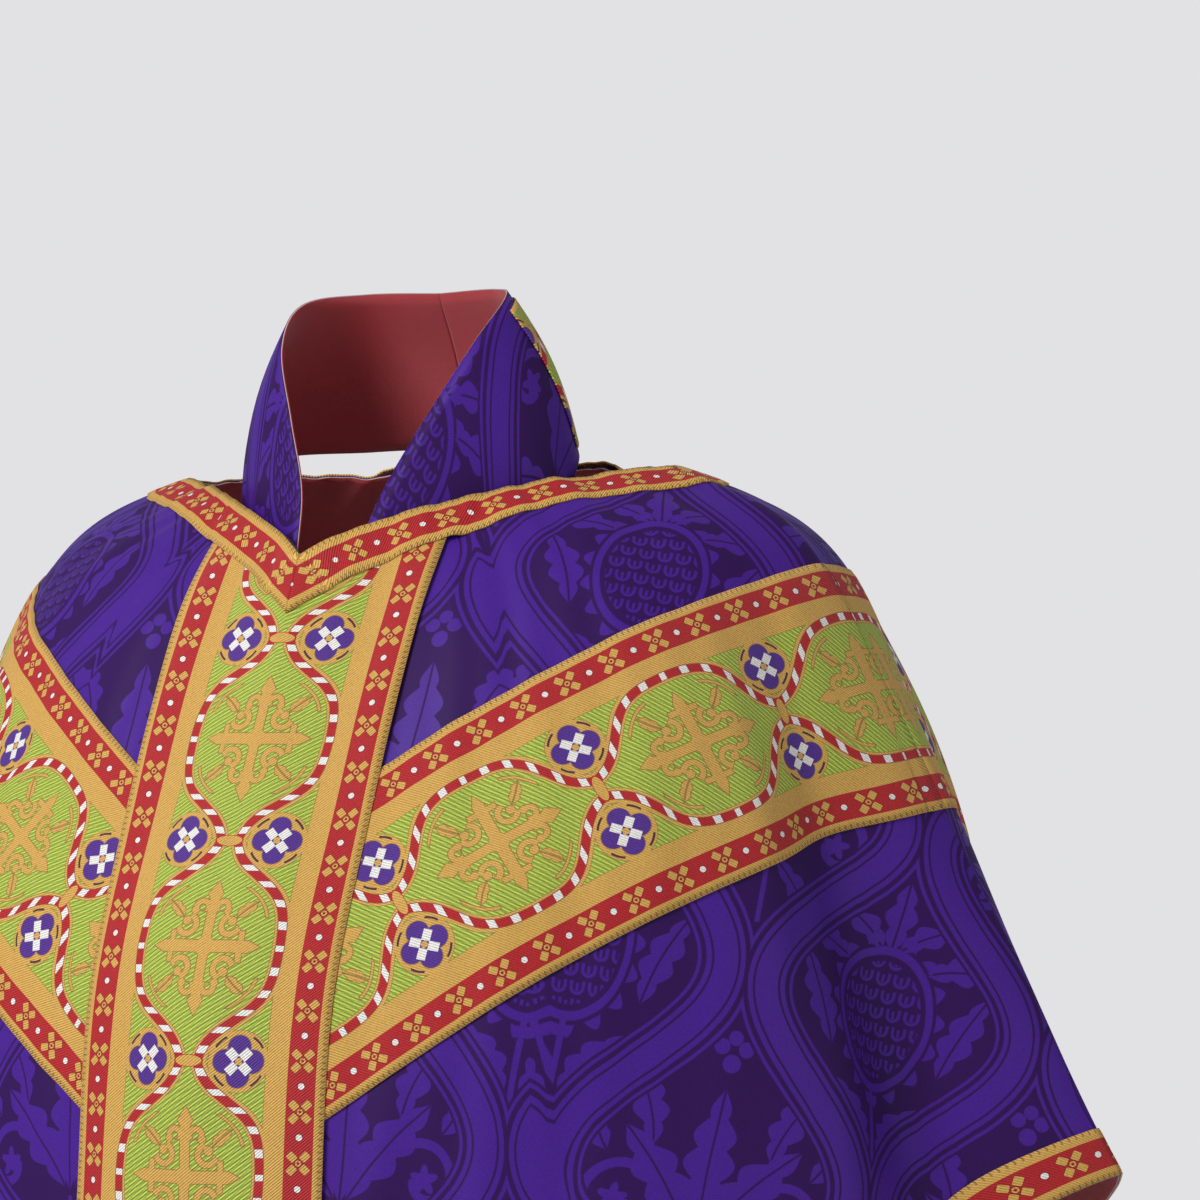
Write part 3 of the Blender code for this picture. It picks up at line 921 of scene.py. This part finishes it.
def quarter_place(grid, side, depth):
    """Places one layer of a quarter, whose places are already in the grid. The layers close up where
    they are sewn at the edges."""
    points, outward, unevenness, edge, cloth = grid

    def place(first, second):
        height = depth * (0.4 + 0.6 * rise(edge / 0.02)) + unevenness
        return mirrored(points + height[:, None] * outward, side), cloth * np.array((side, 1.0))
    return place


def band_place(path, width, cut_start, cut_end, lift, side, half, shift=0.0):
    """Places a band along a path. The lift is a function of the azimuth and the distance down."""
    rows = np.linspace(width[0], width[1], BAND_ROWS)
    starts, ends = cut_start(rows), cut_end(rows)
    broad = abs(width[1] - width[0])
    flat = (broad, float(np.max(ends) - np.min(starts)), broad * float(np.mean(ends - starts)))

    def place(first, second):
        across = width[0] + (width[1] - width[0]) * second
        start, end = np.interp(across, rows, starts), np.interp(across, rows, ends)
        along = start + (end - start) * first
        azimuth, down = beside(path, along, across)
        opposite = half * azimuth > 90.0
        azimuth = np.where(opposite, half * 180.0 - azimuth, azimuth)
        border = np.minimum(second, 1.0 - second) * broad
        pressed = -BORDER_PRESS * (1.0 - rise(border / BORDER_WIDTH))
        points = layer(azimuth, down, lift(azimuth, down) + ripple(azimuth, down) + pressed)
        points[..., 0] = np.where(opposite, -points[..., 0], points[..., 0])
        cloth = np.stack((along - shift, across), axis=-1)
        return mirrored(points, side), cloth
    return place, flat


def make_quarters(materials):
    pieces = {}
    for half_name, half in HALVES:
        net = flat_net(half)
        flat = (*(float(span) for span in np.ptp(net.reshape(-1, 2), axis=0)), net_area(net))
        grid = quarter_grid(half, net, *QUARTER_GRID)
        for side_name, side in SIDES:
            for layer_name, depth, thickness in (
                    ("panel", 0.0, DAMASK_THICKNESS),
                    ("interlining", INTERLINING_DEPTH, LINING_THICKNESS),
                    ("lining", LINING_DEPTH, LINING_THICKNESS)):
                name = f"{half_name}_{side_name}_{layer_name}"
                place = quarter_place(grid, side, depth)
                cloth = grid_sheet(name + "_cloth", *QUARTER_GRID, place, thickness, materials[layer_name])
                pieces[name] = cloth, flat
    return pieces


def net_area(net):
    """Area of a flat net, from the diagonals of its meshes."""
    first = net[1:, 1:] - net[:-1, :-1]
    second = net[1:, :-1] - net[:-1, 1:]
    return float(np.sum(np.abs(first[..., 0] * second[..., 1] - first[..., 1] * second[..., 0])) / 2.0)


def even_lift(height):
    return lambda azimuth, down: np.full_like(azimuth, height)


def make_pillars(materials):
    pieces = {}
    half_width = ORPHREY_WIDTH / 2.0
    for half_name, half in HALVES:
        run = np.linspace(-0.12, 1.30, 120)
        path = np.stack((run, np.full_like(run, half * 90.0), run), axis=1)
        top = cut_where(path, lambda azimuth, down: down - SEAM_CLEARANCE, -0.10, 0.10)
        bottom = cut_where(path, lambda azimuth, down: down - hem(azimuth) + SEAM_CLEARANCE, 0.8, 1.29)
        place, flat = band_place(path, (-half_width, half_width), top, bottom,
                                 even_lift(PILLAR_LIFT), 1.0, half, PILLAR_SHIFT)
        name = f"{half_name}_pillar_orphrey"
        band = grid_sheet(name + "_band", *PILLAR_GRID, place, BAND_THICKNESS, materials["orphrey"])
        pieces[name] = band, flat
    return pieces


def make_arms(materials):
    pieces = {}
    half_width = ORPHREY_WIDTH / 2.0
    for (half_name, half), heading in zip(HALVES, (FRONT_ARM_HEADING, BACK_ARM_HEADING)):
        path = straight_path(0.0, ARM_START, half * heading, ARM_LENGTH)
        back = straight_path(0.0, ARM_START, half * (heading - 180.0), 0.12)[1:]
        path = np.concatenate((back[::-1] * np.array((-1.0, 1.0, 1.0)), path))
        at_seam = cut_where(path, lambda azimuth, down: half * azimuth, -0.10, 0.10)
        at_pillar = cut_where(
            path, lambda azimuth, down: half_width - TUCK - off_middle(azimuth, down), 0.05, ARM_LENGTH)
        for side_name, side in SIDES:
            place, flat = band_place(path, (-half_width, half_width), at_seam, at_pillar,
                                     even_lift(ARM_LIFT), side, half, ARM_SHIFT)
            name = f"{half_name}_{side_name}_arm_orphrey"
            band = grid_sheet(name + "_band", *ARM_GRID, place, BAND_THICKNESS, materials["orphrey"])
            pieces[name] = band, flat
    return pieces


def over_pillar(azimuth, down):
    """Lift of a braid, which climbs over the pillar near the middle."""
    near = 1.0 - rise((off_middle(azimuth, down) - ORPHREY_WIDTH / 2.0) / CLIMB)
    return GALLOON_LIFT + PILLAR_STEP * near


def make_galloons(materials):
    pieces = {}
    for half_name, half in HALVES:
        neck = edge_path(neck_top, half * 90.0, 0.0)
        edge = edge_path(hem, half * 90.0, 0.0)
        neck_width = (-GALLOON_WIDTH, 0.0) if half < 0.0 else (0.0, GALLOON_WIDTH)
        hem_width = (0.0, GALLOON_WIDTH) if half < 0.0 else (-GALLOON_WIDTH, 0.0)
        for kind, bare, width, columns in (("neck", neck, neck_width, NECK_BRAID_COLUMNS),
                                           ("hem", edge, hem_width, HEM_BRAID_COLUMNS)):
            path = carried_on(bare)
            end = bare[-1, 0]
            middle = cut_where(path, off_middle, -0.04, 0.04)
            seam = cut_where(path, lambda azimuth, down: -half * azimuth, end - 0.04, end + 0.04)
            for side_name, side in SIDES:
                place, flat = band_place(path, width, middle, seam, over_pillar, side, half)
                name = f"{kind}_galloon_{half_name}_{side_name}"
                braid = grid_sheet(name + "_braid", columns, BRAID_ROWS, with_positive_cloth(place),
                                   BAND_THICKNESS, materials["galloon"])
                pieces[name] = braid, flat
    return pieces


def with_positive_cloth(place):
    """The same places, with both cloth coordinates counted without their signs."""
    def placed(first, second):
        points, cloth = place(first, second)
        return points, np.abs(cloth)
    return placed


# Stole: the edge beside the neck and the outer edge, from the back of the neck to the end
STOLE_INNER = (
    (0.000, 0.019, 0.100), (0.040, 0.008, 0.100), (0.0625, -0.022, 0.093), (0.0592, -0.050, 0.068),
    (0.042, -0.070, 0.029), (0.026, -0.086, -0.008), (0.020, -0.099, -0.036), (0.019, -0.110, -0.070),
    (0.022, -0.142, -0.150), (0.030, -0.185, -0.320), (0.036, -0.200, -0.650), (0.040, -0.205, -1.000),
)
STOLE_OUTER = (
    (0.000, 0.055, 0.018), (0.055, 0.042, 0.016), (0.0953, -0.0014, 0.010), (0.099, -0.024, -0.016),
    (0.088, -0.040, -0.055), (0.084, -0.056, -0.088), (0.084, -0.072, -0.115), (0.088, -0.088, -0.140),
    (0.100, -0.112, -0.205), (0.122, -0.138, -0.360), (0.132, -0.145, -0.680), (0.138, -0.150, -1.000),
)
STOLE_BOW = 0.006
STOLE_WIDTH = 0.100
STOLE_ORPHREY_END = 0.20
STOLE_ORPHREY_MARGIN = 0.06
STOLE_ORPHREY_LIFT = 0.0012
STOLE_ORPHREY_THICKNESS = 0.0008
STOLE_ORPHREY_GRID = (100, 20)
STOLE_COLUMNS = 260
STOLE_THICKNESS = 0.0007
STOLE_SPAN = 0.002

# Layers of the stole: the end of the name, the height, the material and the rows of the grid
STOLE_LAYERS = (
    ("", 0.0, "panel", 14), ("_interlining", -0.0009, "interlining", 4), ("_lining", -0.0017, "lining", 14),
)


def smooth_curve(points, share):
    """Points on a smooth curve through control points."""
    points = np.array(points)
    reach = share * (len(points) - 1)
    index = np.clip(reach.astype(int), 0, len(points) - 2)
    step = (reach - index)[:, None]
    before = points[np.maximum(index - 1, 0)]
    start, end = points[index], points[index + 1]
    after = points[np.minimum(index + 2, len(points) - 1)]
    pull_start, pull_end = 0.5 * (end - before), 0.5 * (after - start)
    square, cube = step ** 2, step ** 3
    return ((2 * cube - 3 * square + 1) * start + (cube - 2 * square + step) * pull_start
            + (3 * square - 2 * cube) * end + (cube - square) * pull_end)


def stole_surface(share, across):
    inner, outer = smooth_curve(STOLE_INNER, share), smooth_curve(STOLE_OUTER, share)
    return inner + (outer - inner) * across[:, None]


def stole_point(share, across, height):
    """Points of the stole: the share runs from the back of the neck to the end of one side."""
    ahead, behind = np.minimum(share + STOLE_SPAN, 1.0), np.maximum(share - STOLE_SPAN, 0.0)
    along = stole_surface(ahead, across) - stole_surface(behind, across)
    along = np.where((share < STOLE_SPAN)[:, None], np.array((1.0, 0.0, 0.0)), along)
    sideways = stole_surface(share, np.ones_like(across)) - stole_surface(share, np.zeros_like(across))
    normal = unit(np.cross(along, sideways))
    bow = STOLE_BOW * np.sin(math.pi * across)
    return stole_surface(share, across) + normal * (height + bow)[:, None]


def stole_lengths():
    """Distance along the stole's middle at even shares of its length."""
    shares = np.linspace(0.0, 1.0, 200)
    points = stole_surface(shares, np.full_like(shares, 0.5))
    steps = np.linalg.norm(np.diff(points, axis=0), axis=1)
    return shares, np.concatenate(((0.0,), np.cumsum(steps)))


def make_stole(materials):
    pieces = {}
    shares, lengths = stole_lengths()
    flat = (STOLE_WIDTH, float(lengths[-1]), STOLE_WIDTH * float(lengths[-1]))
    for side_name, side in SIDES:
        for layer_name, height, material, rows in STOLE_LAYERS:
            def place(first, second, side=side, height=height):
                edge = np.minimum(second, 1.0 - second) * STOLE_WIDTH
                points = stole_point(first, second, height * (0.4 + 0.6 * rise(edge / 0.01)))
                cloth = np.stack((second * STOLE_WIDTH * side, -np.interp(first, shares, lengths)), axis=-1)
                return mirrored(points, side), cloth
            name = f"stole_{side_name}{layer_name}"
            half = grid_sheet(name + "_cloth", STOLE_COLUMNS, rows, place, STOLE_THICKNESS,
                              materials[material])
            pieces[name] = half, flat

    def neck_band(first, second):
        signed = (2.0 * first - 1.0) * STOLE_ORPHREY_END
        across = STOLE_ORPHREY_MARGIN + (1.0 - 2.0 * STOLE_ORPHREY_MARGIN) * second
        points = stole_point(np.abs(signed), across, STOLE_ORPHREY_LIFT)
        points[:, 0] = np.where(signed < 0.0, -points[:, 0], points[:, 0])
        reach = np.sign(signed) * np.interp(np.abs(signed), shares, lengths)
        return points, np.stack((reach, (across - 0.5) * STOLE_WIDTH), axis=-1)
    band = grid_sheet("stole_neck_orphrey_band", *STOLE_ORPHREY_GRID, neck_band, STOLE_ORPHREY_THICKNESS,
                      materials["orphrey"])
    long = 2.0 * float(np.interp(STOLE_ORPHREY_END, shares, lengths))
    broad = (1.0 - 2.0 * STOLE_ORPHREY_MARGIN) * STOLE_WIDTH
    pieces["stole_neck_orphrey"] = band, (broad, long, broad * long)
    return pieces


# ---------------------------------------------------------------------------------------------------
# Studio
# ---------------------------------------------------------------------------------------------------

VIEW_AZIMUTH = 27.0
VIEW_ELEVATION = -1.3
VIEW_DISTANCE = 2.8
VIEW_WIDTH = 0.6486
VIEW_RIGHT = 0.0958
VIEW_UP = -0.0673
SENSOR_WIDTH = 36.0

# Lights: azimuth and elevation in degrees, distance, diameter, power
KEY_LIGHT = (-22.0, 32.0, 3.2, 1.4, 88.0)
FILL_LIGHT = (75.0, 12.0, 3.5, 2.2, 16.0)
LIGHT_DROP = 0.3

# The backdrop is shown at full strength, and lights the cloth at a share of it
BACKDROP = (0.76, 0.76, 0.775, 1.0)
AMBIENT = 0.50

FLOOR_LEVEL = -1.45
FLOOR_SIZE = 6.0
FLOOR_PALE = (0.74, 0.74, 0.755)
FLOOR_GREY = (0.70, 0.70, 0.71)


def make_camera():
    turn = math.radians(VIEW_AZIMUTH)
    rise_angle = math.radians(VIEW_ELEVATION)
    right = np.array((math.cos(turn), math.sin(turn), 0.0))
    target = right * VIEW_RIGHT + np.array((0.0, 0.0, VIEW_UP))
    away = np.array((math.sin(turn) * math.cos(rise_angle), -math.cos(turn) * math.cos(rise_angle),
                     math.sin(rise_angle)))
    data = bpy.data.cameras.new("camera")
    data.sensor_width = SENSOR_WIDTH
    data.lens = SENSOR_WIDTH * VIEW_DISTANCE / VIEW_WIDTH
    camera = bpy.data.objects.new("camera", data)
    bpy.context.scene.collection.objects.link(camera)
    camera.location = target + away * VIEW_DISTANCE
    camera.rotation_euler = (math.radians(90.0 - VIEW_ELEVATION), 0.0, turn)
    bpy.context.scene.camera = camera


def make_light(name, azimuth, elevation, distance, size, power):
    turn, lift = math.radians(azimuth), math.radians(elevation)
    data = bpy.data.lights.new(name, "AREA")
    data.shape = "DISK"
    data.size = size
    data.energy = power
    light = bpy.data.objects.new(name, data)
    bpy.context.scene.collection.objects.link(light)
    light.location = (distance * math.sin(turn) * math.cos(lift), -distance * math.cos(turn) * math.cos(lift),
                      distance * math.sin(lift) - LIGHT_DROP)
    light.rotation_euler = (math.radians(90.0 - elevation), 0.0, turn)


def make_studio():
    world = bpy.data.worlds.new("studio")
    world.use_nodes = True
    tree = world.node_tree
    background = tree.nodes["Background"]
    background.inputs["Color"].default_value = BACKDROP
    seen = tree.nodes.new("ShaderNodeLightPath")
    strength = Field(tree, seen.outputs["Is Camera Ray"]) * (1.0 - AMBIENT) + AMBIENT
    tree.links.new(strength.socket, background.inputs["Strength"])
    bpy.context.scene.world = world
    bpy.context.scene.view_settings.view_transform = "Standard"
    make_light("key", *KEY_LIGHT)
    make_light("fill", *FILL_LIGHT)
    make_floor()


def make_floor():
    floor_mesh = bpy.data.meshes.new("floor")
    form = bmesh.new()
    bmesh.ops.create_grid(form, x_segments=1, y_segments=1, size=FLOOR_SIZE)
    form.to_mesh(floor_mesh)
    form.free()
    floor = bpy.data.objects.new("floor", floor_mesh)
    floor.location = (0.0, 0.0, FLOOR_LEVEL)
    bpy.context.scene.collection.objects.link(floor)
    material, tree, shader = principled("floor")
    paint = Paint(tree, FLOOR_PALE).over(noise(tree, 3.0) * 0.1, FLOOR_GREY)
    tree.links.new(paint.colour, shader.inputs["Base Color"])
    finish(shader, Roughness=0.9)
    floor_mesh.materials.append(material)


def main():
    make_camera()
    materials = {
        "panel": damask_material("damask"),
        "orphrey": band_material("orphrey", orphrey_paint),
        "galloon": band_material("galloon", galloon_paint),
        "lining": plain_weave_material("lining", LINING_RED, 0.0006, 0.5),
        "interlining": plain_weave_material("interlining", CANVAS, 0.0012, 0.9),
    }
    pieces = {}
    for make in (make_quarters, make_pillars, make_arms, make_galloons, make_stole):
        pieces.update(make(materials))
    for node, (piece, (width, length, area)) in pieces.items():
        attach(piece, "root")
        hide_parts(node)
    make_studio()


main()
